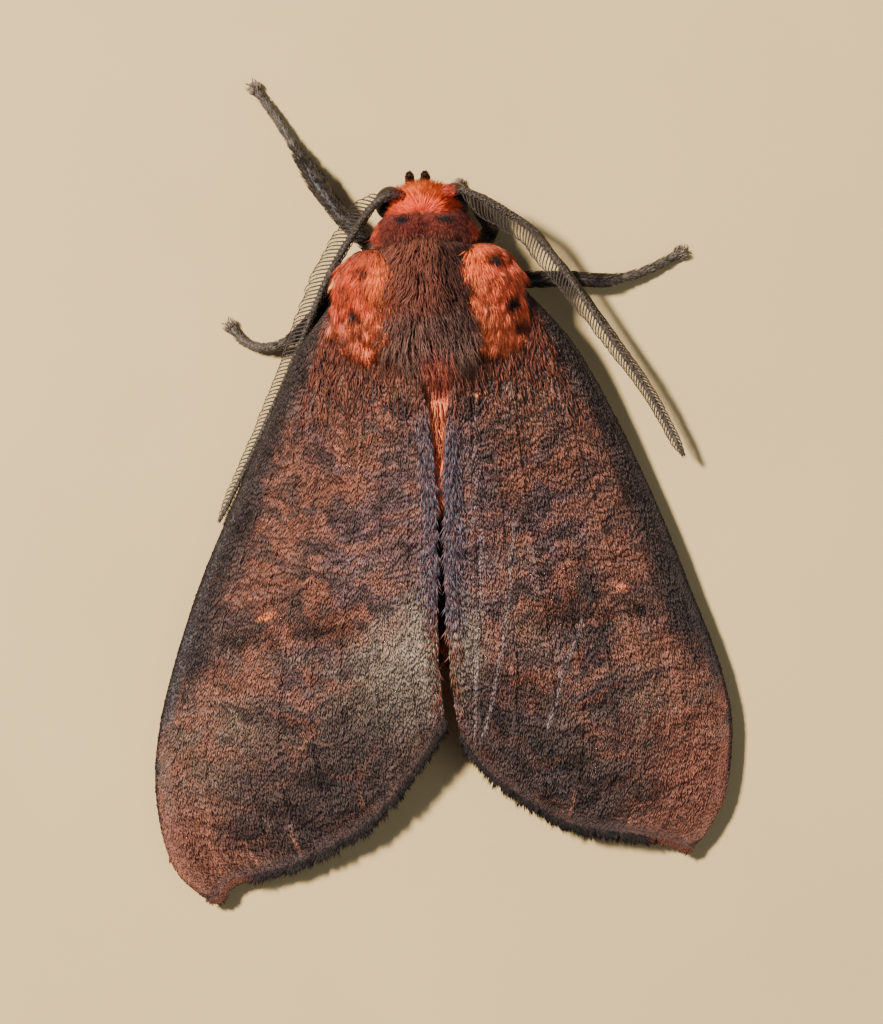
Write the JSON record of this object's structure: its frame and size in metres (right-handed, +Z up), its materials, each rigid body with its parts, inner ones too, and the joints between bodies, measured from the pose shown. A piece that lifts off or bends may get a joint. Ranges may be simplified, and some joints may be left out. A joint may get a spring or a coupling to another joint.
{
  "type": "tiger moth at rest",
  "caption": "Life-size still model of a brown and orange tiger moth at rest, its wings folded back in a low roof and its combed feelers spread.",
  "frame": {"origin": "middle of the moth's box on the floor that its feet stand on", "axes": "+Z up, -Y towards the head, +X towards the moth's own left"},
  "size_m": [0.0286, 0.0407, 0.0078],
  "materials": {
    "thorax_coat": "long brown hair, soft sheen",
    "abdomen_coat": "orange hair, soft sheen",
    "head_coat": "orange-red hair, radiating",
    "collar_coat": "brown-red hair with an orange rim and dark spots",
    "shoulder_coat": "bright orange hair with dark spots",
    "forewing": "mottled brown scales with a violet-grey bloom",
    "hindwing": "thin paler scales",
    "antenna": "pale grey-beige combs on a dotted shaft",
    "leg": "grey-brown short hair",
    "palp": "red hair with dark tips",
    "eye": "glossy black"
  },
  "bodies": {
    "root": {"thorax": "thorax_coat", "abdomen": "abdomen_coat", "head": "head_coat", "eye_left": "eye", "eye_right": "eye", "palp_left": "palp", "palp_right": "palp", "patagium_left": "collar_coat", "patagium_right": "collar_coat", "tegula_left": "shoulder_coat", "tegula_right": "shoulder_coat", "forewing_left": "forewing", "forewing_right": "forewing", "hindwing_left": "hindwing", "hindwing_right": "hindwing", "antenna_left": "antenna", "antenna_right": "antenna", "leg_front_left": "leg", "leg_front_right": "leg", "leg_mid_left": "leg", "leg_mid_right": "leg", "leg_hind_left": "leg", "leg_hind_right": "leg"}
  },
  "joints": []
}
